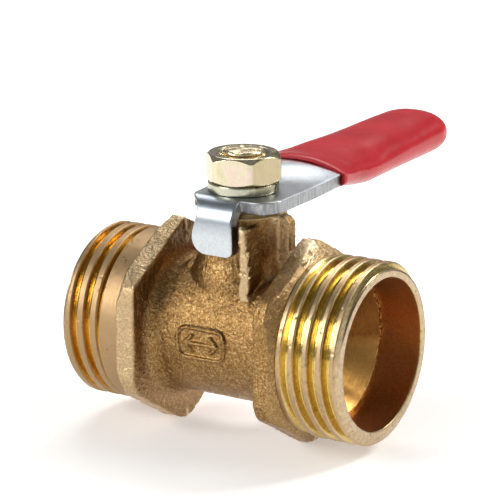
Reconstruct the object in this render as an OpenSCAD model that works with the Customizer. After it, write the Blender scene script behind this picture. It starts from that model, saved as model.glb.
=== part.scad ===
// Small two-way ball valve with male pipe threads on both ends and a sleeved lever.
// X is the flow axis, Z the stem axis, and the origin is the centre of the ball.
// Drawn closed: the lever points along +Y and the stop tab hangs on the -Y side.

/* [Ends] */
// Half of the length over the two end faces
half_len = 18.5; // [17:0.1:22]
// Outside radius of the G1/2 pipe thread
thread_r = 10.4775; // [10.3:0.0005:10.6]
// Depth of the rings that stand for the thread
thread_depth = 0.42; // [0.3:0.01:0.5]
// Thread pitch
pitch = 1.814; // [1.5:0.001:2]
// Width of one of those rings at the crest
groove_w = 0.48; // [0.3:0.01:0.5]
// Radius of the mouth at each end
mouth_r = 8.75; // [8:0.05:9]
// Depth of the mouth from the end face to the funnel
mouth_depth = 5.2; // [4:0.1:7]
// Radius at the end face, inside the end chamfer
face_r = 9.6; // [9.2:0.05:10.2]

/* [Casting] */
// Outside radius of the barrel between the hexagons
barrel_r = 7.88; // [7.5:0.05:9]
// Size across the flats of the cast hexagons
hex_af = 21.5; // [20:0.1:24]
// Distance from the centre to the inner face of each hexagon
hex_in = 7.9; // [7:0.1:9]
// Thickness of each hexagon
hex_t = 2.6; // [2:0.1:4]
// Radius of the round neck
neck_r = 5.0; // [4.6:0.1:6]
// Height of the top of the neck above the flow axis
neck_top = 14.4; // [13:0.1:15]
// Thickness of the stop ribs
rib_t = 1.5; // [1:0.1:2]

/* [Trim] */
// Radius of the ball
ball_r = 6.35; // [6:0.05:6.6]
// Radius of the flow passage through ball, seats and funnels
port_r = 4.0; // [3:0.1:4.4]
// Radius of the chamber that holds the ball and the seats
chamber_r = 6.7; // [6.6:0.05:7]
// Radius of the stem shaft
stem_r = 3.0; // [2.6:0.05:3.2]
// Radial clearance of the stem in the neck
stem_gap = 0.08; // [0.02:0.01:0.1]
// Clearance between the ball and its seats
seat_gap = 0.05; // [0.02:0.01:0.1]

/* [Lever] */
// Thickness of the lever plate
plate_t = 1.5; // [1.2:0.1:2.5]
// Height of the top of the lever plate
plate_top = 16.6; // [16:0.1:18]
// Height of the lower edge of the stop tab
tab_low = 10.3; // [9.6:0.1:12]
// Distance from the stem axis to the outer face of the stop tab
tab_out = 6.5; // [6:0.1:7]
// Distance from the stem axis to the far end of the sleeve
lever_reach = 42; // [38:0.5:60]
// Distance from the stem axis to the mouth of the sleeve
sleeve_start = 11.4; // [10:0.1:14]

/* [Fasteners] */
// Size across the flats of the nut
nut_af = 8; // [7:0.1:9]
// Height of the nut
nut_h = 3.3; // [2.7:0.1:4.7]
// Radius of the stem's threaded end
screw_r = 2.5; // [2:0.1:3]
// Thickness of the spring washer
washer_t = 1.1; // [0.8:0.1:1.4]

/* [Hidden] */
$fn = 96;
eps = 0.02;
root_r = thread_r - thread_depth;
flank = thread_depth * tan(27.5);
hex_out = hex_in + hex_t;
funnel_x = half_len - mouth_depth;
step_x = hex_in + 1.1;
seat_out = 7.6;
seat_in = 4.2;
seat_bore = port_r + 0.3;
plate_low = plate_top - plate_t;
washer_top = plate_top + washer_t;
nut_top = washer_top + nut_h;
stem_top = nut_top + 0.5;
flat_w = 4;
tang_t = 2.4;
tang_gap = 0.1;
pocket_r = 3.9;
pocket_top = 9.0;
washer_z = 0.6;
collar_top = pocket_top - washer_z - 0.1;
collar_low = 6.95;
tab_half_l = 2.75;
tab_half_r = 2.45;
stop_near = 3.15;
ring_r = 0.52;
ring_groove_r = 2.0;
ring_z = [10.7, 12.9];

// A solid of revolution about the flow axis, from points [radius, x]
module turned(points) {
  rotate([0, 90, 0]) rotate_extrude() polygon(points);
}

// One thread groove from x, running towards +X
function groove(x) = [[thread_r, x], [root_r, x + flank], [root_r, x + groove_w - flank],
                      [thread_r, x + groove_w]];

module right_end() {
  relief_r = 9.5;
  first = hex_out + 2.7;
  turned(concat(
    [[0, hex_in], [10.2, hex_in], [10.2, hex_out + 0.5], [relief_r, hex_out + 0.8],
     [relief_r, hex_out + 1.3], [thread_r, hex_out + 1.8]],
    groove(first), groove(first + pitch), groove(first + 2 * pitch),
    [[thread_r, half_len - 0.4], [face_r, half_len], [0, half_len]]));
}

module left_end() {
  first = hex_out + 3.1;
  mirror([1, 0, 0]) turned(concat(
    [[0, hex_in], [10.2, hex_in], [10.2, hex_out + 0.3], [thread_r, hex_out + 0.5]],
    groove(first), groove(first + pitch), groove(first + 2 * pitch),
    [[thread_r, half_len - 0.4], [face_r, half_len], [0, half_len]]));
}

// A cast hexagon with corners up and down and its outer corners turned off
module cast_hex() {
  corner_r = hex_af / 2 / cos(30);
  intersection() {
    translate([hex_in, 0, 0]) rotate([0, 90, 0])
      cylinder(r = corner_r, h = hex_t, $fn = 6);
    turned([[0, hex_in - 1], [corner_r - 0.5, hex_in - 1], [corner_r - 0.5, hex_out - 0.9],
            [corner_r - 1.6, hex_out], [0, hex_out]]);
  }
}

// A stop rib beside the neck, standing out along -Y
module stop_rib() {
  reach = 6.1;
  translate([stop_near, -reach, 3]) cube([rib_t, reach - 2, 9.9]);
  translate([stop_near + rib_t / 2, -reach, 12.9]) rotate([-90, 0, 0])
    cylinder(r = rib_t / 2, h = reach - 2);
}

// A second rib in the place the tab reaches when the valve is open
module far_rib() {
  reach = 6.1;
  translate([-reach, stop_near, 3]) cube([reach - 2, rib_t, 9.9]);
  translate([-reach, stop_near + rib_t / 2, 12.9]) rotate([0, 90, 0])
    cylinder(r = rib_t / 2, h = reach - 2);
}

// The flat wing between the neck and the right hexagon
module wing() {
  wing_x = 6.6;
  r = 1.3;
  wing_top = 14.4;
  rotate([90, 0, 0]) translate([0, 0, -rib_t / 2]) linear_extrude(rib_t) {
    translate([2, 3]) square([wing_x - 2, wing_top - 3 - r]);
    translate([2, wing_top - r - eps]) square([wing_x - 2 - r, r + eps]);
    translate([wing_x - r, wing_top - r]) circle(r);
    translate([2, 3]) square([hex_in - 2 + 0.1, 7]);
  }
}

module valve_body() color([0.62, 0.45, 0.24]) difference() {
  union() {
    turned([[0, -hex_in], [barrel_r + 0.9, -hex_in], [barrel_r, 0.9 - hex_in],
            [barrel_r, hex_in - 0.9], [barrel_r + 0.9, hex_in], [0, hex_in]]);
    right_end();
    left_end();
    cast_hex();
    mirror([1, 0, 0]) cast_hex();
    rotate_extrude() polygon([[0, 4], [5.9, 4], [5.6, 7], [neck_r + 0.2, 8.2], [neck_r, 9.2],
                              [neck_r, neck_top - 0.5], [neck_r - 0.5, neck_top],
                              [0, neck_top]]);
    stop_rib();
    far_rib();
    wing();
  }
  // the passage, from the left face to the right face
  turned([[0, -half_len - 1], [mouth_r, -half_len - 1], [mouth_r, -funnel_x],
          [mouth_r - 0.35, -funnel_x], [seat_bore, -step_x], [seat_bore, -seat_out],
          [chamber_r, -seat_out], [chamber_r, step_x], [mouth_r, step_x],
          [mouth_r, half_len + 1], [0, half_len + 1]]);
  cylinder(r = stem_r + stem_gap, h = neck_top + 1);
  cylinder(r = pocket_r, h = pocket_top);
}

module retainer() color([0.80, 0.62, 0.30])
  turned([[seat_bore, seat_out], [chamber_r, seat_out], [chamber_r, step_x],
          [mouth_r, step_x], [mouth_r, funnel_x], [mouth_r - 0.35, funnel_x],
          [seat_bore, step_x]]);

module right_seat() color([0.93, 0.93, 0.90]) difference() {
  turned([[seat_bore, seat_in], [chamber_r, seat_in], [chamber_r, seat_out],
          [seat_bore, seat_out]]);
  sphere(r = ball_r + seat_gap);
}

module left_seat() color([0.93, 0.93, 0.90]) difference() {
  turned([[seat_bore, -seat_out], [chamber_r, -seat_out], [chamber_r, -seat_in],
          [seat_bore, -seat_in]]);
  sphere(r = ball_r + seat_gap);
}

module ball() color([0.80, 0.81, 0.83]) difference() {
  slot_low = 4.5;
  sphere(r = ball_r);
  rotate([90, 0, 0]) cylinder(r = port_r, h = 4 * ball_r, center = true);
  translate([-ball_r, -tang_t / 2 - tang_gap, slot_low])
    cube([2 * ball_r, tang_t + 2 * tang_gap, ball_r]);
}

module stem() color([0.78, 0.60, 0.28]) {
  tang_half = 3.2;
  tang_low = 4.75;
  groove_h = 1.2;
  intersection() {
    translate([-tang_half, -tang_t / 2, tang_low])
      cube([2 * tang_half, tang_t, collar_low - tang_low + eps]);
    cylinder(r = tang_half, h = collar_top);
  }
  difference() {
    union() {
      translate([0, 0, collar_low]) cylinder(r = pocket_r - 0.1, h = collar_top - collar_low);
      translate([0, 0, collar_low]) cylinder(r = stem_r, h = plate_low - collar_low);
    }
    for (z = ring_z)
      translate([0, 0, z - groove_h / 2]) difference() {
        cylinder(r = stem_r + 1, h = groove_h);
        translate([0, 0, -1]) cylinder(r = ring_groove_r, h = groove_h + 2);
      }
  }
  intersection() {
    translate([0, 0, plate_low - eps]) cylinder(r = screw_r, h = plate_t + eps);
    translate([-screw_r - 1, -flat_w / 2, plate_low - 1])
      cube([2 * screw_r + 2, flat_w, plate_t + 3]);
  }
  translate([0, 0, plate_top - eps]) cylinder(r = screw_r - 0.35, h = washer_t + eps * 2);
  rotate_extrude() polygon([[0, washer_top], [screw_r, washer_top], [screw_r, nut_top - 0.15],
                            [screw_r - 0.3, stem_top - 0.12], [screw_r - 0.9, stem_top],
                            [0, stem_top]]);
}

module thrust_washer() color([0.93, 0.93, 0.90])
  translate([0, 0, pocket_top - washer_z]) difference() {
    cylinder(r = pocket_r, h = washer_z);
    translate([0, 0, -1]) cylinder(r = stem_r + stem_gap, h = washer_z + 2);
  }

module o_ring(z) color([0.07, 0.07, 0.07])
  translate([0, 0, z]) rotate_extrude()
    translate([ring_groove_r + ring_r, 0]) circle(r = ring_r, $fn = 32);

module lower_o_ring() o_ring(ring_z[0]);

module upper_o_ring() o_ring(ring_z[1]);

// Plan of the strap inside the sleeve, a little narrower towards its end
module strap_plan() {
  polygon([[5.3, sleeve_start - eps], [5.0, 18], [4.3, 28], [3.6, 38], [2.6, 39.6], [-2.6, 39.6],
           [-3.6, 38], [-4.3, 28], [-5.0, 18], [-5.3, sleeve_start - eps]]);
}

// The strap inside the sleeve, curled down along both edges
module curled_strap() {
  crown = 17.7;
  curl_r = 12;
  intersection() {
    translate([0, 0, 10]) linear_extrude(10) strap_plan();
    translate([0, 45, crown - curl_r]) rotate([90, 0, 0]) difference() {
      cylinder(r = curl_r, h = 40);
      translate([0, 0, -1]) cylinder(r = curl_r - plate_t, h = 42);
    }
    translate([-10, 0, 10]) cube([20, 60, 10]);
  }
}

module lever_plate() color([0.72, 0.74, 0.77]) {
  bend_r = 1.9;
  bend_y = -tab_out + bend_r;
  corner_r = 1.8;
  // flat strap with a shoulder, a hub and a double-D hole
  difference() {
    translate([0, 0, plate_low]) linear_extrude(plate_t)
      polygon([[-tab_half_l, bend_y], [tab_half_r, bend_y], [5.2, -4.5], [6.4, -2.3],
               [6.1, sleeve_start], [6.0, sleeve_start + 1.5], [-5.8, sleeve_start + 1.5],
               [-5.9, sleeve_start], [-4.2, 0], [-3.6, -3.2], [-3.2, bend_y]]);
    intersection() {
      translate([0, 0, plate_low - 1]) cylinder(r = screw_r, h = plate_t + 2);
      translate([-screw_r - 1, -flat_w / 2, plate_low - 2])
        cube([2 * screw_r + 2, flat_w, plate_t + 4]);
    }
  }
  curled_strap();
  // bend from the strap down into the tab
  intersection() {
    translate([-tab_half_l, bend_y, plate_top - bend_r]) rotate([0, 90, 0]) difference() {
      cylinder(r = bend_r, h = tab_half_l + tab_half_r);
      translate([0, 0, -1]) cylinder(r = bend_r - plate_t, h = tab_half_l + tab_half_r + 2);
    }
    translate([-5, bend_y - 5, plate_top - bend_r - eps]) cube([10, 5 + eps, 5]);
  }
  // hanging tab with rounded lower corners
  translate([0, -tab_out + plate_t, 0]) rotate([90, 0, 0]) linear_extrude(plate_t) {
    translate([-tab_half_l, tab_low + corner_r])
      square([tab_half_l + tab_half_r, plate_top - bend_r - tab_low - corner_r]);
    translate([-tab_half_l + corner_r, tab_low])
      square([tab_half_l + tab_half_r - corner_r - 0.6, corner_r + eps]);
    translate([tab_half_r - 0.6 - eps, tab_low + 0.6]) square([0.6 + eps, corner_r]);
    translate([-tab_half_l + corner_r, tab_low + corner_r]) circle(corner_r);
    translate([tab_half_r - 0.6, tab_low + 0.6]) circle(0.6);
  }
}

// Outside of the sleeve: plan, side view and cross-section together
module sleeve_outside() {
  tip_r = 4.4;
  end_r = 2.2;
  top_z = 18.3;
  low_z = 12.95;
  top_r = 12;
  low_r = 10;
  intersection() {
    translate([0, 0, 10]) linear_extrude(12) {
      polygon([[-6.4, sleeve_start], [6.6, sleeve_start], [6.0, 20], [5.15, 30],
               [tip_r, lever_reach - tip_r], [-tip_r, lever_reach - tip_r], [-5.15, 30], [-6.0, 20]]);
      translate([0, lever_reach - tip_r - eps]) circle(tip_r);
    }
    rotate([90, 0, 90]) translate([0, 0, -10]) linear_extrude(20) {
      polygon([[sleeve_start, 14.8], [14, 14.3], [20, 13.1], [26, low_z],
               [lever_reach - end_r, 13.3], [lever_reach - end_r, 17.7],
               [25, 18.15], [15, top_z], [sleeve_start, top_z]]);
      translate([lever_reach - end_r - eps, 13.3 + end_r]) circle(end_r);
    }
    translate([0, lever_reach + 1, top_z - top_r]) rotate([90, 0, 0])
      cylinder(r = top_r, h = lever_reach);
    translate([0, lever_reach + 1, low_z + low_r]) rotate([90, 0, 0])
      cylinder(r = low_r, h = lever_reach);
  }
}

module grip_sleeve() color([0.72, 0.07, 0.08]) difference() {
  sleeve_outside();
  curled_strap();
  translate([0, 0, plate_low]) linear_extrude(plate_t)
    polygon([[6.12, sleeve_start - 1], [6.1, sleeve_start], [6.0, sleeve_start + 1.5],
             [-5.8, sleeve_start + 1.5], [-5.9, sleeve_start], [-5.9, sleeve_start - 1]]);
}

module spring_washer() color([0.66, 0.66, 0.50]) difference() {
  outer_r = 4.07;
  inner_r = 2.65;
  translate([0, 0, plate_top]) cylinder(r = outer_r, h = washer_t);
  translate([0, 0, plate_top - 1]) cylinder(r = inner_r, h = washer_t + 2);
  rotate([0, 0, 5]) translate([3.5, 0, plate_top + washer_t / 2]) rotate([20, 0, 0])
    cube([3, 0.35, 3], center = true);
}

module nut() color([0.72, 0.70, 0.52]) {
  corner_r = nut_af / 2 / cos(30);
  cut = 0.85;
  difference() {
    intersection() {
      translate([0, 0, washer_top]) rotate([0, 0, 14]) cylinder(r = corner_r, h = nut_h, $fn = 6);
      rotate_extrude() polygon([[0, washer_top], [nut_af / 2 - 0.22, washer_top],
                                [corner_r + 0.1, washer_top + cut], [corner_r + 0.1, nut_top - cut],
                                [nut_af / 2 - 0.22, nut_top], [0, nut_top]]);
    }
    rotate_extrude() polygon([[0, washer_top - 1], [screw_r + 0.35, washer_top - 1],
                              [screw_r + 0.35, washer_top], [screw_r, washer_top + 0.35],
                              [screw_r, nut_top - 0.35], [screw_r + 0.38, nut_top],
                              [screw_r + 0.38, nut_top + 1], [0, nut_top + 1]]);
  }
}

valve_body();
retainer();
left_seat();
right_seat();
ball();
stem();
thrust_washer();
lower_o_ring();
upper_o_ring();
lever_plate();
grip_sleeve();
spring_washer();
nut();
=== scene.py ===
import math

import bpy
import bmesh
import numpy as np
from mathutils import Matrix, Vector


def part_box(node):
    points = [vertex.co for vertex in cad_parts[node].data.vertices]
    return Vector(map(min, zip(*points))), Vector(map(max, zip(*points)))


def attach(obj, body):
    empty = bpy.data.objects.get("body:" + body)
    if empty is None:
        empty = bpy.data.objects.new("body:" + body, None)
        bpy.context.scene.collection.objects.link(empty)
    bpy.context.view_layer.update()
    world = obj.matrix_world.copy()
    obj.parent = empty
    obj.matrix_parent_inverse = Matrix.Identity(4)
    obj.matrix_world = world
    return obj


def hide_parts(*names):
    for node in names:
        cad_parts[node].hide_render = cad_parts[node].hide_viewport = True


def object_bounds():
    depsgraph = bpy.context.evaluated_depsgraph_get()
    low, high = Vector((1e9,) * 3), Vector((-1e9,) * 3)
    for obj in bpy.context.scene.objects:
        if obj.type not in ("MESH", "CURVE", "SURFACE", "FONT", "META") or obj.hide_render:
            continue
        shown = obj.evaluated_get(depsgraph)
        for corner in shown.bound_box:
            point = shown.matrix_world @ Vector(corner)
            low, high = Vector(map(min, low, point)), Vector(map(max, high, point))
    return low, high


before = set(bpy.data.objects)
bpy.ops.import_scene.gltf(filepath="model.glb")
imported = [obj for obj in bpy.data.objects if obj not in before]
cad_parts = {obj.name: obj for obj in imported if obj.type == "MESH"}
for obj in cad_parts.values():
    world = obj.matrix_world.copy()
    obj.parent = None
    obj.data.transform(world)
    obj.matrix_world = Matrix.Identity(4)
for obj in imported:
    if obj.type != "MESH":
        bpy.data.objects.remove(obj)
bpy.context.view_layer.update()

MM = 0.001

# ---------------------------------------------------------------- sizes, in mm, read from the CAD
def box_mm(node):
    return [np.array(corner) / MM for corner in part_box(node)]


body_lo, body_hi = box_mm("valve_body")
plate_lo = box_mm("lever_plate")[0]
sleeve_hi = box_mm("grip_sleeve")[1]
nut_lo, nut_hi = box_mm("nut")
wash_lo, wash_hi = box_mm("spring_washer")
stem_hi = box_mm("stem")[1]
ret_hi = box_mm("retainer")[1]

HALF = body_hi[0]
NECK_TOP = body_hi[2]
HEX_FLAT = body_hi[1]
HEX_CORNER = -body_lo[2]
THREAD_R = 10.4775
PITCH = 1.814
LEFT_THREAD_R = THREAD_R - 0.34
MOUTH_R = ret_hi[1]
MOUTH_FLOOR = ret_hi[0]
BARREL_R = 7.88
HEX_IN, HEX_OUT = 7.9, 10.5
CHAMBER_R, SEAT_BORE, STEP_X, SEAT_OUT = 6.7, 4.3, 9.0, 7.6
PLATE_TOP = wash_lo[2]
PLATE_T, EDGE_R = 1.5, 0.17
PLATE_LOW = PLATE_TOP - PLATE_T
TAB_LOW, TAB_OUT = plate_lo[2], -plate_lo[1]
NUT_FLATS = 8.0
RIB_X, RIB_MID_Z, RIB_HALF_Z = 3.84, 8.2, 5.45
FAR_RIB_Y = 3.9
MARK_HEIGHT = 0.34


# ---------------------------------------------------------------- numbers: noise and blends
def smooth(lo, hi, v):
    t = np.clip((v - lo) / (hi - lo), 0, 1)
    return t * t * (3 - 2 * t)


def bump(v, centre, width):
    return np.exp(-(((v - centre) / width) ** 2))


TABLES = {}


def noise(p, size, seed=0):
    """Smooth value noise in -1..1 at points p (n, 3) in mm, with features of that size in mm."""
    n = 32
    if seed not in TABLES:
        TABLES[seed] = np.random.RandomState(seed + 11).rand(n, n, n).astype(np.float32) * 2 - 1
    t = TABLES[seed]
    q = np.asarray(p, np.float32) / size + 1000.5
    i = np.floor(q).astype(np.int64)
    f = (q - i).astype(np.float32)
    f = f * f * (3 - 2 * f)
    out = 0
    for dx in (0, 1):
        wx = f[:, 0] if dx else 1 - f[:, 0]
        for dy in (0, 1):
            wy = f[:, 1] if dy else 1 - f[:, 1]
            for dz in (0, 1):
                wz = f[:, 2] if dz else 1 - f[:, 2]
                out = out + wx * wy * wz * t[(i[:, 0] + dx) % n, (i[:, 1] + dy) % n, (i[:, 2] + dz) % n]
    return out


def fbm(p, size, octaves=3, seed=0):
    total, scale, amp = 0, size, 1.0
    for k in range(octaves):
        total = total + amp * noise(p, scale, seed + k)
        scale, amp = scale / 2, amp / 2
    return total


def smin(a, b, k):
    h = np.clip(0.5 + 0.5 * (b - a) / k, 0, 1)
    return b * (1 - h) + a * h - k * h * (1 - h)


def smax(a, b, k):
    return -smin(-a, -b, k)


# ---------------------------------------------------------------- meshes
def make(name, verts, quads, attrs=None, tris=None):
    """A mesh object from points in mm, an (n, 4) array of quads and optionally triangles."""
    me = bpy.data.meshes.new(name)
    verts = np.asarray(verts, np.float64) * MM
    quads = np.asarray(quads, np.int32).reshape(-1, 4)
    tris = np.zeros((0, 3), np.int32) if tris is None else np.asarray(tris, np.int32).reshape(-1, 3)
    loops = np.concatenate([quads.ravel(), tris.ravel()])
    sizes = np.concatenate([np.full(len(quads), 4), np.full(len(tris), 3)]).astype(np.int32)
    starts = np.concatenate([[0], np.cumsum(sizes)[:-1]]).astype(np.int32)
    me.vertices.add(len(verts))
    me.vertices.foreach_set("co", verts.astype(np.float32).ravel())
    me.loops.add(len(loops))
    me.loops.foreach_set("vertex_index", loops)
    me.polygons.add(len(sizes))
    me.polygons.foreach_set("loop_start", starts)
    me.update(calc_edges=True)
    me.validate()
    me.polygons.foreach_set("use_smooth", np.ones(len(me.polygons), bool))
    for key, values in (attrs or {}).items():
        a = me.attributes.new(key, "FLOAT", "POINT")
        a.data.foreach_set("value", np.asarray(values, np.float32))
    ob = bpy.data.objects.new(name, me)
    bpy.context.scene.collection.objects.link(ob)
    return ob


def grid_quads(nu, nv, wrap_u=False, wrap_v=False):
    iu = np.arange(nu if wrap_u else nu - 1)
    iv = np.arange(nv if wrap_v else nv - 1)
    a, b = np.meshgrid(iu, iv, indexing="ij")
    a, b = a.ravel(), b.ravel()
    a2, b2 = (a + 1) % nu, (b + 1) % nv
    return np.stack([a * nv + b, a2 * nv + b, a2 * nv + b2, a * nv + b2], 1)


def facing_out(verts, quads, tris=None):
    """True if the faces of a closed mesh point outwards, which its signed volume tells."""
    v = np.asarray(verts)
    vol = 0.0
    for cols in ((0, 1, 2), (0, 2, 3)):
        a, b, c = (v[quads[:, k]] for k in cols)
        vol += np.einsum("ij,ij->i", a, np.cross(b, c)).sum()
    if tris is not None and len(tris):
        a, b, c = (v[tris[:, k]] for k in range(3))
        vol += np.einsum("ij,ij->i", a, np.cross(b, c)).sum()
    return vol > 0


def spread(values, seg):
    """A column of values repeated over seg columns."""
    return np.repeat(np.asarray(values)[:, None], seg, 1)


def outward(verts, quads):
    return quads if facing_out(verts, quads) else quads[:, ::-1]


def capped(v, n_r, n_c, low=None, high=None):
    """A swept skin of n_r closed rows, shut by a fan at each end: its points, quads and triangles."""
    q = grid_quads(n_r, n_c, False, True)
    base, last = len(v), (n_r - 1) * n_c
    low = v[:n_c].mean(0) if low is None else low
    high = v[-n_c:].mean(0) if high is None else high
    v = np.concatenate([v, [low], [high]])
    k = np.arange(n_c)
    following = (k + 1) % n_c
    tris = np.concatenate([np.stack([np.full(n_c, base), k, following], 1),
                           np.stack([np.full(n_c, base + 1), last + following, last + k], 1)])
    if not facing_out(v, q, tris):
        q, tris = q[:, ::-1], tris[:, ::-1]
    return v, q, tris


def rounded(points, radius=0.08, steps=3):
    """A closed outline with each corner turned into a short arc."""
    pts = [np.array(p, float) for p in points]
    n, out = len(pts), []
    for i in range(n):
        p, a, b = pts[i], pts[i - 1], pts[(i + 1) % n]
        la, lb = np.linalg.norm(a - p), np.linalg.norm(b - p)
        if la < 1e-6 or lb < 1e-6:
            continue
        r = min(radius, 0.45 * la, 0.45 * lb)
        s, e = p + (a - p) / la * r, p + (b - p) / lb * r
        for k in range(steps + 1):
            t = k / steps
            out.append((1 - t) ** 2 * s + 2 * t * (1 - t) * p + t * t * e)
    return out


def resample(points, step):
    """The closed outline with no edge longer than step."""
    out, n = [], len(points)
    for i in range(n):
        a, b = np.array(points[i]), np.array(points[(i + 1) % n])
        m = max(1, int(math.ceil(np.linalg.norm(b - a) / step)))
        out += [a + (b - a) * k / m for k in range(m)]
    return np.array(out)


def turn(name, outline, seg, step, shape):
    """A closed outline of (radius, x) swept round the x axis. shape(r, x, angle) gives the final r and x."""
    prof = resample(outline, step)
    ang = np.arange(seg) * 2 * math.pi / seg
    th = spread(ang, len(prof)).T
    r, x = shape(spread(prof[:, 0], seg), spread(prof[:, 1], seg), th)
    verts = np.stack([x, r * np.cos(th), r * np.sin(th)], -1).reshape(-1, 3)
    return make(name, verts, outward(verts, grid_quads(len(prof), seg, True, True)))


def surface(field, lo, hi, h):
    """Surface nets: the zero surface of field(x, y, z) in a box. Gives points on it, quads and normals."""
    axes = [np.arange(lo[k], hi[k] + h, h, dtype=np.float32) for k in range(3)]
    shape = tuple(len(a) for a in axes)
    f = np.empty(shape, np.float32)
    for i, x in enumerate(axes[0]):
        y, z = np.meshgrid(axes[1], axes[2], indexing="ij")
        f[i] = field(np.full_like(y, x), y, z)
    inside = f < 0
    corners = [(a, b, c) for a in (0, 1) for b in (0, 1) for c in (0, 1)]
    count = sum(
        inside[a : shape[0] - 1 + a, b : shape[1] - 1 + b, c : shape[2] - 1 + c].astype(np.int8)
        for a, b, c in corners
    )
    ci = np.argwhere((count > 0) & (count < 8))
    vals = np.stack([f[ci[:, 0] + a, ci[:, 1] + b, ci[:, 2] + c] for a, b, c in corners], 1)
    total, n = np.zeros((len(ci), 3), np.float32), np.zeros(len(ci), np.float32)
    for i, p in enumerate(corners):
        for j in range(i + 1, 8):
            q = corners[j]
            if sum(abs(u - v) for u, v in zip(p, q)) != 1:
                continue
            cross = (vals[:, i] < 0) != (vals[:, j] < 0)
            t = np.where(cross, vals[:, i] / np.where(cross, vals[:, i] - vals[:, j], 1), 0)
            at = np.array(p, np.float32) + t[:, None] * (np.array(q, np.float32) - np.array(p, np.float32))
            total += at * cross[:, None]
            n += cross
    verts = (ci + total / n[:, None]) * h + np.array(lo, np.float32)
    index = np.full(count.shape, -1, np.int32)
    index[tuple(ci.T)] = np.arange(len(ci))
    quads = []
    for ax in range(3):
        u, v = (ax + 1) % 3, (ax + 2) % 3
        s0 = [slice(0, -1) if k == ax else slice(1, -1) for k in range(3)]
        s1 = [slice(1, None) if k == ax else slice(1, -1) for k in range(3)]
        a, b = inside[tuple(s0)], inside[tuple(s1)]
        for mask, turned in ((a & ~b, False), (~a & b, True)):
            e = np.argwhere(mask)
            e[:, u] += 1
            e[:, v] += 1
            c = []
            for du, dv in ((-1, -1), (0, -1), (0, 0), (-1, 0)):
                k = e.copy()
                k[:, u] += du
                k[:, v] += dv
                c.append(index[tuple(k.T)])
            q = np.stack(c, 1)
            quads.append(q[:, ::-1] if turned else q)
    quads = np.concatenate(quads)
    verts, normal = settle(field, verts)
    return verts, quads, normal


def settle(field, p, steps=2, d=0.02, most=0.08):
    """Points moved onto the field's zero surface, and the normals there."""
    g = None
    for _ in range(steps):
        g = gradient(field, p, d)
        v = field(p[:, 0], p[:, 1], p[:, 2])
        p = p - g * np.clip(v, -most, most)[:, None]
    return p, g


def gradient(field, p, d=0.02):
    g = np.stack(
        [
            field(p[:, 0] + d * (k == 0), p[:, 1] + d * (k == 1), p[:, 2] + d * (k == 2))
            - field(p[:, 0] - d * (k == 0), p[:, 1] - d * (k == 1), p[:, 2] - d * (k == 2))
            for k in range(3)
        ],
        1,
    )
    return g / np.maximum(np.linalg.norm(g, axis=1, keepdims=True), 1e-9)


def join(name, objects):
    """One object from several, keeping their materials."""
    bpy.ops.object.select_all(action="DESELECT")
    for o in objects:
        o.select_set(True)
    bpy.context.view_layer.objects.active = objects[0]
    bpy.ops.object.join()
    objects[0].name = name
    objects[0].data.name = name
    return objects[0]


# ---------------------------------------------------------------- the cast middle of the body
def box2(u, v, cu, cv, hu, hv, r):
    qu, qv = np.abs(u - cu) - hu + r, np.abs(v - cv) - hv + r
    return np.hypot(np.maximum(qu, 0), np.maximum(qv, 0)) + np.minimum(np.maximum(qu, qv), 0) - r


# x, y, z and radius of the lumps left by the casting's gate, on the hexagon and on the stop rib
CHIPS = ((9.75, -1.5, 10.95, 0.34), (10.25, -3.3, 10.35, 0.3), (9.3, -0.7, 11.35, 0.26))
RIB_CHIPS = ((4.1, -1.05, 13.95, 0.36), (4.9, -0.95, 14.05, 0.26), (3.3, -5.5, 13.5, 0.42))


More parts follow.
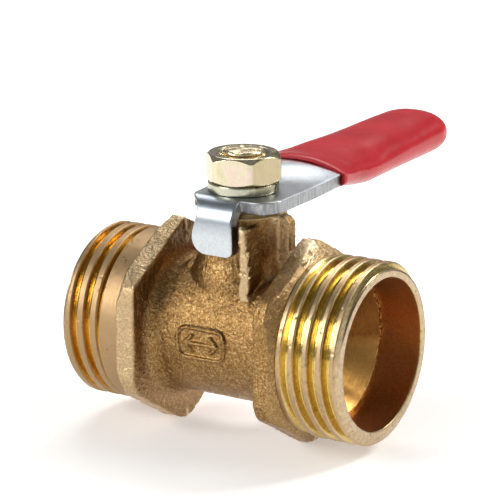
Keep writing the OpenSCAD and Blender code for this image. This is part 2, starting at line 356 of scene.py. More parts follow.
def cast_field(x, y, z):
    """Signed distance, about, to the casting's skin: barrel, hexagons, neck, stop ribs, web and hollows."""
    r = np.hypot(y, z)
    ax = np.abs(x)
    flare = 0.85 * np.maximum((ax - 6.1) / 1.8, 0) ** 2
    barrel = smax((r - BARREL_R - flare - mark(x, y, z)) * 0.9, ax - 8.6, 0.1)
    flats = np.maximum(np.abs(y), 0.5 * np.abs(y) + 0.8660254 * np.abs(z)) - HEX_FLAT
    hexa = smax(flats, np.abs(ax - (HEX_IN + HEX_OUT) / 2) - (HEX_OUT - HEX_IN) / 2, 0.28)
    corner_r = np.where((x < 0) & (z > 0), HEX_CORNER + 0.3, HEX_CORNER - 0.07)
    hexa = smax(hexa, r - corner_r, 0.2)
    chamfer = np.where(x > 0, (r - 10.75 + 1.6 * (ax - 10.05)) / 1.887,
                       ((r - 11.15) * 0.9 + (ax - HEX_OUT) * 1.1) / 1.42)
    hexa = smax(hexa, chamfer, 0.12)
    hexa = np.maximum(hexa, np.minimum(9.3 - r, ax - 8.4))
    rz = np.hypot(x, y)
    neck_r = 5.0 + 0.95 * smooth(10.2, 6.4, z) + 0.3 * smooth(6.5, 4.5, z)
    neck = smax(rz - neck_r, z - NECK_TOP, 0.12)
    neck = np.maximum(neck, 3.0 - z)
    ragged = smooth(-5.2, -6.0, y)
    sway = 0.08 * np.sin(1.3 * z + 1.2 * np.sin(0.9 * z)) + 0.25 * smooth(10, 13.5, z)
    sway = sway + 0.07 * ragged * np.sin(3.1 * z + 2 * np.sin(2.2 * z))
    thick = 0.67 - 0.18 * smooth(8.5, 12.5, z) + 0.07 * ragged * np.sin(3.7 * z + 1)
    rib = smax(box2(x + sway, z, RIB_X, RIB_MID_Z, thick, RIB_HALF_Z, 0.4), np.abs(y + 4.1) - 2.0, 0.25)
    far = smax(box2(y, z, FAR_RIB_Y, RIB_MID_Z, 0.74, RIB_HALF_Z, 0.5), np.abs(x + 4.1) - 2.0, 0.3)
    wing = smax(box2(x, z, 4.3, 8.7, 2.3, 5.7, 1.3), np.abs(y) - 0.75, 0.25)
    foot = smax(box2(x, z, 5.5, 7.6, 3.0, 2.6, 0.4), np.abs(y) - 0.75, 0.25)
    blob = np.sqrt((x + 5.6) ** 2 + (y + 2.4) ** 2 + (z - 7.5) ** 2) - 0.45
    body = smin(barrel, hexa, 0.7)
    body = smin(body, blob, 0.5)
    for cx, cy, cz, cr in CHIPS:
        body = smin(body, np.sqrt((x - cx) ** 2 + (y - cy) ** 2 + (z - cz) ** 2) - cr, 0.15)
    body = smin(body, neck, 0.38)
    body = smin(body, smin(wing, foot, 0.4), 0.45)
    body = smin(body, rib, 0.35)
    for cx, cy, cz, cr in RIB_CHIPS:
        body = smin(body, np.sqrt((x - cx) ** 2 + (y - cy) ** 2 + (z - cz) ** 2) - cr, 0.2)
    body = smin(body, far, 0.35)
    body = smax(body, -np.maximum(r - CHAMBER_R, ax - 8.7), 0.05)
    body = smax(body, -(rz - 3.08 + np.where(z < 0, 50, 0)), 0.05)
    body = smax(body, -np.maximum(rz - 3.9, np.abs(z - 4.5) - 4.5), 0.05)
    return body


def segment(u, v, u0, v0, u1, v1):
    """Distance in the plane to a straight stroke."""
    du, dv = u1 - u0, v1 - v0
    t = np.clip(((u - u0) * du + (v - v0) * dv) / (du * du + dv * dv), 0, 1)
    return np.hypot(u - u0 - t * du, v - v0 - t * dv)


def mark(x, y, z):
    """Height of a plain flow arrow in a rounded frame, raised on the front of the barrel."""
    u, v = np.abs(x + 0.7), np.abs(z - 0.1)
    arrow = segment(u, v, 0, 0, 2.05, 0)
    arrow = np.minimum(arrow, segment(u, v, 2.15, 0, 1.25, 0.85))
    frame_line = np.abs(box2(u, v, 0, 0, 3.1, 1.75, 1.2))
    d = np.minimum(arrow, frame_line)
    return MARK_HEIGHT * smooth(0.34, 0.08, d) * (y < -2)


def cast_centre():
    """The casting between the turned ends, with its grain and parting line, cuts, wear and pits in places, and
    painted light on the hexagons' sides and the wing face.
    """
    cell = 0.125
    v, q, n = surface(cast_field, (-10.7, -11.1, -12.3), (10.7, 11.1, 14.7), cell)
    r = np.hypot(v[:, 1], v[:, 2])
    rz = np.hypot(v[:, 0], v[:, 1])
    ax = np.abs(v[:, 0])
    cut_top = smooth(14.22, 14.34, v[:, 2]) * (rz < 5.2)
    cut_cone = smooth(0.45, 0.7, n[:, 0]) * (v[:, 0] > 8.9) * (r > 9.0)
    bored = (r < CHAMBER_R + 0.1) | ((rz < 4) & (v[:, 2] > 3) & (v[:, 2] < NECK_TOP + 0.1))
    cut = np.maximum(np.maximum(cut_top, 0.15 * cut_cone), bored)
    rim = smooth(7.6, 8.0, ax) * smooth(9.2, 9.8, r)
    left_rim = rim * (v[:, 0] < 0) * smooth(10.0, 10.6, r)
    lump = 0.05 * noise(v, 2.6, 1) + (0.02 + 0.02 * rim + 0.05 * left_rim) * fbm(v, 1.2, 2, 3)
    grain = 0.012 * noise(v, 0.45, 5) + 0.038 * noise(v, 0.25, 6)
    front = smooth(-5.5, -5.9, v[:, 1]) * (v[:, 2] > 5.5) * (np.abs(v[:, 0] - 3.9) < 1.2)
    seam = bump(v[:, 1] + 0.1 * noise(v, 1.5, 8), 0, 0.28) * smooth(10.4, 11.2, r) * rim
    crack = -0.22 * front * bump(v[:, 2] + 0.25 * v[:, 0], 9.5, 0.16)
    move = (lump + grain * (1 - 0.1 * front)) * (1 - cut) + 0.16 * seam * (1 - cut) + crack
    move += cut * 0.012 * noise(v, 0.5, 9)
    v = v + n * move[:, None]
    v[:, 2] = np.maximum(v[:, 2], -HEX_CORNER)
    chip = sum(np.exp(-(((v - np.array(c[:3])) / 0.5) ** 2).sum(1)) for c in CHIPS + RIB_CHIPS)
    # painted light: masks that make the wing face and the hexagons' sides (the left one's inner face, the
    # right one's upper part) paler, as if lit
    painted_light_wing = smooth(-0.4, -0.7, v[:, 1]) * smooth(5.5, 7.0, v[:, 2])
    painted_light_wing = painted_light_wing * smooth(4.4, 4.8, v[:, 0]) * (v[:, 1] > -3)
    painted_light_hex = np.where(v[:, 0] < 0, 0.10 * (ax < 8.1), 0.13 * smooth(7.0, 9.5, v[:, 2]))
    painted_light_hex = painted_light_hex * smooth(7.4, 7.8, ax) * smooth(8.2, 8.8, r)
    left_edge = left_rim * smooth(-7.9, -8.3, v[:, 0])
    # one pale mask for real wear (rib front, chips, rim edge, parting seam, cut neck top) and the painted
    # light above
    wear_and_painted_light = 0.4 * front + 0.8 * chip + 0.3 * painted_light_wing + painted_light_hex + 0.35 * left_edge + seam + 0.5 * cut_top
    low = smooth(0.3, -0.9, grain / 0.045)
    attrs = {
        "cut": cut,
        "wear_and_painted_light": np.clip(wear_and_painted_light, 0, 1),
        "pit": np.clip(low, 0, 1),
    }
    return make("cast", v, q, attrs)


# ---------------------------------------------------------------- the turned ends of the body
def groove(x, th, first, half, floor):
    """Depth of the thread groove at x and an angle: 0 on the crests and 1 in the roots."""
    lead = x - PITCH * th / (2 * math.pi) - first
    off = np.abs(lead - np.round(lead / PITCH) * PITCH)
    return smooth(half, floor, off)


def end_body(name, side, first, widths, starts, tip_r, blank_end):
    """One threaded end as a closed ring: thread, face, mouth, and the part hidden in the hexagon.

    first is the x of a root at angle 0, widths are a groove's half widths at its top and floor, starts is
    where the groove runs in, and blank_end is the (x, radius) line that limits the crests.
    """
    outer_step = 0.045
    xs = np.arange(8.4, HALF - 0.03, outer_step)
    inner = (
        [(9.7, HALF), (8.86, HALF), (8.77, HALF - 0.07), (MOUTH_R, HALF - 0.2), (MOUTH_R, 16.8),
         (MOUTH_R, 15.2), (MOUTH_R, MOUTH_FLOOR + 0.02)]
    )
    if side > 0:
        inner += [(MOUTH_R, 11.4), (MOUTH_R, STEP_X + 0.02), (7.4, STEP_X + 0.02), (7.2, 8.4)]
    else:
        inner += [(MOUTH_R - 0.35, MOUTH_FLOOR), (SEAT_BORE + 0.05, STEP_X), (SEAT_BORE, STEP_X - 0.1),
                  (SEAT_BORE, SEAT_OUT), (7.2, SEAT_OUT), (7.2, 8.4)]
    inner = np.array(inner)
    extra = []
    for a, b in zip(inner[:-1], inner[1:]):
        m = max(1, int(np.linalg.norm(b - a) / 0.25))
        extra += [a + (b - a) * k / m for k in range(m)]
    inner = np.array(extra + [inner[-1]])
    seg = 640
    th = np.arange(seg) * 2 * math.pi / seg
    x, t = np.meshgrid(xs, th, indexing="ij")
    blank_line = [(8.4, 9.8), (10.42, 9.8), (10.5, 10.15)] + blank_end
    blank = np.interp(x, [p[0] for p in blank_line], [p[1] for p in blank_line])
    tt = t if side > 0 else -t
    pts = np.stack([x.ravel() * side, 10.5 * np.cos(t).ravel(), 10.5 * np.sin(t).ravel()], 1)
    g = groove(x, tt, first, *widths).ravel()
    crest = tip_r + 0.012 * noise(pts, 0.7, 21) + 0.02 * noise(pts * [0.3, 1, 1], 2.5, 22)
    burr = 0.06 * bump(g, 0.2, 0.15) * (0.6 + 0.4 * noise(pts, 0.5, 23))
    fade = smooth(*starts, x).ravel()
    cutr = crest + burr * fade - 0.93 * g * fade
    r = np.minimum(blank.ravel() + 0.006 * noise(pts, 0.6, 24), cutr)
    nick = smooth(0.62, 0.8, noise(pts, 0.75, 25)) * smooth(0.3, 0.0, g)
    r = r - 0.05 * nick
    crest_mask = smooth(0.35, 0.1, g * fade) * smooth(tip_r - 0.5, tip_r - 0.25, r)
    r = r.reshape(x.shape)
    ri, xi = spread(inner[:, 0], seg), spread(inner[:, 1], seg)
    ti = spread(th, len(inner)).T
    pi = np.stack([xi.ravel() * side, 9 * np.cos(ti).ravel(), 9 * np.sin(ti).ravel()], 1)
    edge = bump(xi, HALF, 0.16) * (ri < 9.0)
    ri = ri + (0.035 * edge * noise(pi, 0.45, 26).reshape(ri.shape))
    xi = xi - 0.03 * bump(ri, 9.62, 0.12) * (noise(pi, 0.6, 27).reshape(ri.shape) + 0.3)
    rr, xx = np.concatenate([r, ri]), np.concatenate([x, xi])
    tall = spread(th, len(rr)).T
    v = np.stack([xx * side, rr * np.cos(tall), rr * np.sin(tall)], -1).reshape(-1, 3)
    q = outward(v, grid_quads(len(rr), seg, True, True))
    n_out = r.size
    zeros = np.zeros(ri.size)
    mouth = smooth(9.0, 8.8, ri.ravel()) * smooth(HALF - 0.1, HALF - 0.3, xi.ravel())
    face = smooth(HALF - 0.12, HALF - 0.04, xi.ravel())
    attrs = {
        "crest": np.concatenate([crest_mask, zeros]),
        "root": np.concatenate([g * fade, zeros]),
        "mouth": np.concatenate([np.zeros(n_out), mouth]),
        "face": np.concatenate([smooth(HALF - 0.45, HALF - 0.1, x.ravel()), np.maximum(face, 0)]),
    }
    return make(name, v, q, attrs)


def build_body():
    cast = cast_centre()
    right = end_body("right", 1, 12.56, (0.68, 0.22), (11.8, 12.3), THREAD_R,
                     [(11.05, 10.2), (11.3, 9.85), (11.5, 9.55), (11.9, 9.55), (12.15, 10.2),
                      (12.35, THREAD_R + 0.1), (HALF - 0.42, THREAD_R + 0.05), (HALF - 0.3, 10.3),
                      (HALF, 9.66)])
    left = end_body("left", -1, 14.1, (0.56, 0.20), (13.15, 13.75), LEFT_THREAD_R,
                    [(10.6, LEFT_THREAD_R + 0.04), (11.0, LEFT_THREAD_R + 0.06), (13.0, LEFT_THREAD_R + 0.06),
                     (HALF - 0.6, LEFT_THREAD_R + 0.01), (HALF - 0.35, 9.95), (HALF, 9.5)])
    return cast, right, left


# ---------------------------------------------------------------- lever plate
# (y, x) points of the strap's two edges, from the tab to the end inside the sleeve
STRAP_LEFT = (
    (-6.5, -2.3), (-6.0, -2.4), (-5.4, -2.8), (-4.9, -3.4), (-4.4, -3.85), (-3.6, -4.2), (0.2, -4.5),
    (3, -5.0), (7, -5.6), (11.4, -5.9), (14, -5.8), (18, -4.8), (28, -3.8), (38, -2.8), (39.6, -1.8),
)
STRAP_RIGHT = (
    (-6.5, 2.45), (-4.62, 2.45), (-4.56, 2.9), (-4.46, 4.6), (-4.36, 5.0), (-4.2, 5.22), (-3.2, 6.0),
    (-2.5, 6.33), (-2.2, 6.39), (-1.6, 6.36), (3, 6.25), (11.4, 6.1), (14, 5.9), (18, 4.8), (28, 3.8),
    (38, 2.8), (39.6, 1.8),
)


def plate_edges(y):
    """(left x, right x) of the strap's outline at y."""
    return [np.interp(y, *np.array(line).T) for line in (STRAP_LEFT, STRAP_RIGHT)]


def corner_inset(d, radius):
    """How far a rounded corner draws the edge in, at a distance d from the end."""
    return radius - math.sqrt(max(radius ** 2 - (radius - min(d, radius)) ** 2, 0))


def strap_section(xl, xr, nv, edge):
    """The strap's section, as (x, depth) all round: rounded edges, the sheared right side a little hollow."""
    b, t = EDGE_R, PLATE_T
    turns = [k / edge * math.pi / 2 for k in range(1, edge)]
    top = np.linspace(xl + b, xr - b, nv)
    pts = [(x, 0.0) for x in top]
    pts += [(xr - b + b * math.sin(a), -b + b * math.cos(a)) for a in turns]
    pts += [(xr - 0.04 * math.sin(k / 5 * math.pi), -b - (t - 2 * b) * k / 5) for k in range(6)]
    pts += [(xr - b + b * math.cos(a), -t + b - b * math.sin(a)) for a in turns]
    pts += [(x, -t) for x in top[::-1]]
    pts += [(xl + b - b * math.sin(a), -t + b - b * math.cos(a)) for a in turns]
    pts += [(xl, -t + b + (t - 2 * b) * k / 5) for k in range(6)]
    pts += [(xl + b - b * math.cos(a), -b + b * math.sin(a)) for a in turns]
    return np.array(pts)


def build_plate():
    """The strap as rows along its length: up the tab, round the bend, over the hub and into the sleeve."""
    bend_y, bend_z = 2.5, 3.0
    tab_rows = np.concatenate([TAB_LOW + 1.8 * (1 - np.cos(np.linspace(0, np.pi / 2, 14))),
                               np.linspace(TAB_LOW + 2.0, PLATE_TOP - bend_z, 12)])
    rows = [(-TAB_OUT, z, -1.0, 0.0) for z in tab_rows]
    flat_from = -TAB_OUT + bend_y
    shoulder = np.arccos(1 - (np.linspace(-4.64, -4.14, 14) + TAB_OUT) / bend_y)
    before, after = np.linspace(0, shoulder[0], 14)[1:-1], np.linspace(shoulder[-1], math.pi / 2, 4)[1:]
    for a in (*before, *shoulder, *after):
        out = np.array((-bend_z * math.cos(a), bend_y * math.sin(a)))
        out /= np.hypot(*out)
        rows.append((flat_from - bend_y * math.cos(a), PLATE_TOP - bend_z + bend_z * math.sin(a), *out))
    ys = np.concatenate([np.linspace(flat_from, -1.4, 24)[1:], np.linspace(-1.2, 11, 44),
                         np.linspace(11.3, 39.4, 50), 39.6 + np.zeros(1)])
    rows += [(y, PLATE_TOP, 0.0, 1.0) for y in ys]
    nv, edge = 41, 5
    loops = []
    for y, z, ny, nz in rows:
        xl, xr = plate_edges(y)
        if z < PLATE_TOP - 0.6 * bend_z:
            d = max(z - TAB_LOW, 0.0)
            flare = 0.10 * smooth(TAB_LOW + 4, TAB_LOW + 1.5, z)
            xl = -2.3 - 0.58 * smooth(TAB_LOW + 4.6, TAB_LOW + 1.8, z) + corner_inset(d, 1.8)
            xr = 2.4 + flare - corner_inset(d, 0.65)
        o = strap_section(xl, xr, nv, edge)
        arch = smooth(4.5, 11.5, y) * (1 - 0.6 * smooth(13, 20, y)) * (1.05 - 0.85 * (o[:, 0] / 6) ** 2)
        loops.append(np.stack([o[:, 0], y + ny * o[:, 1], z + nz * o[:, 1] + arch], 1))
    loops = np.array(loops)
    n_r, n_c = loops.shape[:2]
    v = loops.reshape(-1, 3)
    wob = 0.012 * noise(v, 3.0, 31) + 0.006 * noise(v, 0.8, 32)
    v = v + np.stack([0 * wob, 0.6 * wob, wob], 1)
    v, q, tris = capped(v, n_r, n_c)
    col = np.tile(np.arange(n_c), n_r)
    side = ((col >= nv + edge - 2) & (col < nv + edge + 7)).astype(float)
    side = np.concatenate([side, [0, 0]])
    ob = make("plate_raw", v, q, {"sheared": side}, tris=tris)
    hole = make_prism("hole", double_d(2.55, 4.06, 48), PLATE_LOW - 1, PLATE_TOP + 1.5)
    return cut_with(ob, hole, "lever_strap")


def double_d(r, w, n):
    """A circle of radius r with two flats, w apart in y."""
    a0 = math.asin(w / 2 / r)
    right = [(r * math.cos(a), r * math.sin(a)) for a in np.linspace(-a0, a0, n // 2)]
    return right + [(-x, -y) for x, y in right]


def make_prism(name, outline, z0, z1):
    bm = bmesh.new()
    bottom = [bm.verts.new((x * MM, y * MM, z0 * MM)) for x, y in outline]
    top = [bm.verts.new((x * MM, y * MM, z1 * MM)) for x, y in outline]
    bm.faces.new(bottom[::-1])
    bm.faces.new(top)
    n = len(outline)
    for i in range(n):
        bm.faces.new((bottom[i], bottom[(i + 1) % n], top[(i + 1) % n], top[i]))
    me = bpy.data.meshes.new(name)
    bm.to_mesh(me)
    bm.free()
    ob = bpy.data.objects.new(name, me)
    bpy.context.scene.collection.objects.link(ob)
    return ob


def cut_with(ob, tool, name):
    """ob minus tool, as a new object with applied modifiers."""
    m = ob.modifiers.new("cut", "BOOLEAN")
    m.object, m.operation, m.solver = tool, "DIFFERENCE", "EXACT"
    bpy.context.view_layer.update()
    done = bpy.data.meshes.new_from_object(ob.evaluated_get(bpy.context.evaluated_depsgraph_get()))
    new = bpy.data.objects.new(name, done)
    bpy.context.scene.collection.objects.link(new)
    for o in (ob, tool):
        bpy.data.objects.remove(o)
    return new


# ---------------------------------------------------------------- sleeve
SLEEVE_ROWS = (
    # y, centre x, half width, top z, low z, squareness
    (11.42, 0.08, 6.52, 18.20, 15.00, 4.6),
    (11.9, 0.08, 6.62, 18.30, 14.95, 4.4),
    (12.8, 0.06, 6.50, 18.22, 14.75, 3.6),
    (14.2, 0.03, 6.30, 17.98, 14.35, 2.9),
    (16, 0.0, 6.10, 17.86, 13.95, 2.5),
    (18, 0.0, 6.02, 17.98, 13.45, 2.3),
    (20.5, 0.0, 5.92, 18.15, 13.05, 2.2),
    (25, 0.0, 5.52, 18.2, 12.99, 2.15),
    (30, 0.0, 5.15, 18.36, 12.98, 2.15),
    (35, 0.0, 4.9, 18.5, 13.02, 2.2),
    (38, 0.0, 4.8, 18.52, 13.10, 2.2),
)


# y and depth below the outer skin, from inside the open end round its lip
SLEEVE_LIP = ((14.0, 0.62), (13.0, 0.60), (12.3, 0.58), (11.8, 0.55), (11.55, 0.50), (11.45, 0.38),
              (11.4, 0.24), (11.42, 0.1))


def sleeve_row(y):
    t = np.array(SLEEVE_ROWS)
    return [np.interp(y, t[:, 0], t[:, k]) for k in range(1, 6)]


def build_sleeve():
    n_c = 160
    tip0, tip1 = SLEEVE_ROWS[-1][0], sleeve_hi[1]
    ys = np.concatenate([np.linspace(SLEEVE_ROWS[0][0], 14.2, 22), np.linspace(14.4, tip0, 90)])
    k = np.linspace(0, math.pi / 2, 26)[1:]
    ang = np.arange(n_c) * 2 * math.pi / n_c
    rows = []

    def section(y, shrink=1.0, inset=0.0, yy=None):
        cx, a, zt, zb, sq = sleeve_row(y)
        a, b, zc = (a - inset) * shrink, ((zt - zb) / 2 - inset) * shrink, (zt + zb) / 2
        c, s = np.cos(ang), np.sin(ang)
        e = 2 / sq
        px = cx + a * np.sign(c) * np.abs(c) ** e
        pz = zc + b * np.sign(s) * np.abs(s) ** e
        crown = smooth(16.5, 12, y) * (s > 0)
        pz = pz - crown * 0.032 * (px - cx) ** 2 * np.abs(s) ** 0.5 * shrink
        return np.stack([px, np.full(n_c, y if yy is None else yy), pz], 1)

    for yy, inset in SLEEVE_LIP:
        rows.append(section(yy, 1.0, inset))
    for y in ys:
        rows.append(section(y))
    for a in k:
        rows.append(section(tip0, max(math.cos(a), 1e-4) ** 0.55, 0.0, tip0 + (tip1 - tip0) * math.sin(a)))
    v, q, tris = capped(soften_sleeve(np.array(rows).reshape(-1, 3)), len(rows), n_c)
    return make("sleeve", v, q, tris=tris)


def soften_sleeve(v):
    """Soft swells and dents in the dipped vinyl, and the edge of the strap showing through."""
    x, y, z = v.T
    top = smooth(15.6, 17.0, z)
    d = -0.12 * bump(y, 16.6, 2.2) * bump(x, 1.5, 2.6) * top
    d += -0.34 * bump(y, 20.5, 3.0) * bump(x, 4.6, 1.7) * top
    d += 0.10 * bump(y, 26.0, 3.0) * bump(x, 3.0, 1.8) * top
    d += -0.10 * bump(y, 31.0, 3.5) * bump(x, 3.4, 1.4) * top
    d += 0.05 * noise(v, 5.0, 41) * smooth(12, 16, y)
    side = smooth(4.6, 5.6, np.abs(x)) * smooth(13, 17, y) * smooth(34, 26, y)
    d += -0.07 * side * bump(z, 16.2, 0.8)
    out = v.copy()
    out[:, 2] += d * np.where(z > 15.6, 1, -0.4)
    return out


# ---------------------------------------------------------------- nut, washer, stem, retainer
def build_nut():
    """A chamfered hexagon nut, a little out of line with the lever, with the mouth of its threaded hole."""
    flat_r = NUT_FLATS / 2
    z0, z1 = nut_lo[2], nut_hi[2]
    twist = math.radians(14)
    seg = 720
    zs = np.unique(np.concatenate([np.linspace(z0, z0 + 1, 26), np.linspace(z0 + 1, z1 - 1.1, 12),
                                   np.linspace(z1 - 1.1, z1, 30)]))
    th = np.arange(seg) * 2 * math.pi / seg
    z, t = np.meshgrid(zs, th, indexing="ij")
    side = (t - twist) % (math.pi / 3) - math.pi / 6
    hexr = flat_r / np.cos(side)
    corner = flat_r / math.cos(math.pi / 6)
    hexr = smin(hexr, corner - 0.14 + 0 * hexr, 0.16)
    cone_hi = (flat_r - 0.10) + (z1 - z) * 1.15
    cone_lo = (flat_r - 0.20) + (z - z0) * 1.5
    r = smin(smin(hexr, cone_hi, 0.06), cone_lo, 0.06)
    prof_in = [(flat_r - 0.3, z1), (3.35, z1), (2.98, z1 - 0.02), (2.9, z1 - 0.12), (2.62, z1 - 0.6),
               (2.55, z1 - 0.9), (2.52, z0 + 0.4), (2.85, z0 + 0.02), (3.2, z0), (flat_r - 0.3, z0)]
    rr = [r] + [np.full((1, seg), p[0]) for p in prof_in]
    zz = [z] + [np.full((1, seg), p[1]) for p in prof_in]
    rr, zz = np.concatenate(rr), np.concatenate(zz)
    tt = spread(th, len(rr)).T
    v = np.stack([rr * np.cos(tt), rr * np.sin(tt), zz], -1).reshape(-1, 3)
    v = v + 0.008 * np.stack([noise(v, 1.2, 51), noise(v, 1.2, 52), noise(v, 1.4, 53)], 1)
    return make("hex_nut", v, outward(v, grid_quads(len(rr), seg, True, True)))


def build_washer():
    """A split spring washer: a square section swept almost all round, one end a little above the other."""
    r_in, r_out = 2.66, wash_hi[1]
    z0, z1 = wash_lo[2], wash_hi[2]
    gap = math.radians(5.5)
    start = math.radians(5) + gap / 2
    n = 260
    sect = rounded([(r_in, z0), (r_out, z0), (r_out, z1), (r_in, z1)], 0.14, 4)
    sect = resample(sect, 0.25)
    th = start + np.linspace(0, 2 * math.pi - gap, n)
    pts = []
    for i, a in enumerate(th):
        f = i / (n - 1)
        lift = 0.04 * (f - 0.5)
        lean = 0.05 * (sect[:, 1] - z0)
        aa = a + lean * (f > 0.98 or f < 0.02)
        height = z0 + (sect[:, 1] - z0) * 0.95 + 0.03 + lift
        pts.append(np.stack([sect[:, 0] * np.cos(aa), sect[:, 0] * np.sin(aa), height], 1))
    v = np.array(pts).reshape(-1, 3)
    m = len(sect)
    v = v + 0.01 * np.stack([noise(v, 0.9, 54), noise(v, 0.9, 55), noise(v, 0.9, 56)], 1)
    v, q, tris = capped(v, n, m)
    return make("split_washer", v, q, tris=tris)


def build_stem():
    """The stem: tang, collar, shaft with two ring grooves, flats in the lever's hole, and a peened end."""
    top = stem_hi[2]
    low = 4.75
    prof = [(0.02, low), (3.2, low), (3.2, 6.95), (3.8, 6.95), (3.8, 8.3), (3.0, 8.3), (3.0, 10.1),
            (2.0, 10.1), (2.0, 11.3), (3.0, 11.3), (3.0, 12.3), (2.0, 12.3), (2.0, 13.5), (3.0, 13.5),
            (3.0, PLATE_LOW - 0.02), (2.5, PLATE_LOW), (2.5, PLATE_TOP), (2.15, PLATE_TOP + 0.1),
            (2.15, PLATE_TOP + 1.0), (2.5, PLATE_TOP + 1.1), (2.5, top - 1.75), (2.12, top - 1.6),
            (2.14, top - 0.75), (2.36, top - 0.5), (2.34, top - 0.3), (2.12, top - 0.1), (1.6, top - 0.04),
            (0.8, top - 0.02), (0.02, top - 0.02)]
    line = []
    for a, b in zip(prof[:-1], prof[1:]):
        m = max(1, int(math.hypot(b[0] - a[0], b[1] - a[1]) / 0.12))
        line += [(a[0] + (b[0] - a[0]) * k / m, a[1] + (b[1] - a[1]) * k / m) for k in range(m)]
    line = np.array(line + [prof[-1]])
    seg = 200
    th = np.arange(seg) * 2 * math.pi / seg
    r, z = spread(line[:, 0], seg), spread(line[:, 1], seg)
    t = spread(th, len(line)).T
    s = np.maximum(np.abs(np.sin(t)), 1e-6)
    r = np.where(z < 6.94, np.minimum(r, 1.2 / s), r)
    r = np.where((z > PLATE_LOW - 0.01) & (z < PLATE_TOP + 0.01), np.minimum(r, 2.0 / s), r)
    p = np.stack([r * np.cos(t), r * np.sin(t), z], -1).reshape(-1, 3)
    end = smooth(top - 0.6, top - 0.15, p[:, 2])
    rough = 0.10 * noise(p, 1.1, 61) + 0.07 * noise(p, 0.5, 62) - 0.06
    rough = rough - 0.16 * smooth(0.3, 0.7, noise(p, 0.9, 63))
    p[:, 2] += end * np.clip(rough, -0.34, 0.01)
    p[:, :2] *= (1 + 0.045 * end * noise(p, 0.8, 64))[:, None]
    v, q, tris = capped(p, len(line), seg, (0, 0, low), (0, 0, p[-seg:, 2].mean()))
    return make("valve_stem", v, q, tris=tris)


def build_retainer():
    """The pressed-in bushing with the funnel that shows in the right mouth."""
    r_out = MOUTH_R - 0.01
    outline = rounded([(SEAT_BORE, SEAT_OUT), (CHAMBER_R, SEAT_OUT), (CHAMBER_R, STEP_X), (r_out, STEP_X),
                       (r_out, MOUTH_FLOOR), (r_out - 0.42, MOUTH_FLOOR - 0.02), (SEAT_BORE, STEP_X)], 0.07)

    def shape(r, t, th):
        p = np.stack([t.ravel(), (r * np.cos(th)).ravel(), (r * np.sin(th)).ravel()], 1)
        rim = bump(t, MOUTH_FLOOR, 0.2) * (r > 8.0)
        n1 = noise(p, 0.5, 71).reshape(r.shape)
        cone = (r > SEAT_BORE + 0.1) & (r < r_out - 0.5) & (t > STEP_X - 0.3)
        marks = 0.004 * np.sin(r * 2 * math.pi / 0.34) * cone
        return r, t + marks + rim * 0.05 * n1

    return turn("bushing", outline, 360, 0.1, shape)


# ---------------------------------------------------------------- materials
def material(name):
    m = bpy.data.materials.new(name)
    m.use_nodes = True
    nt = m.node_tree
    nt.nodes.clear()
    out = nt.nodes.new("ShaderNodeOutputMaterial")
    bsdf = nt.nodes.new("ShaderNodeBsdfPrincipled")
    nt.links.new(bsdf.outputs[0], out.inputs[0])
    return m, Nodes(nt, bsdf)


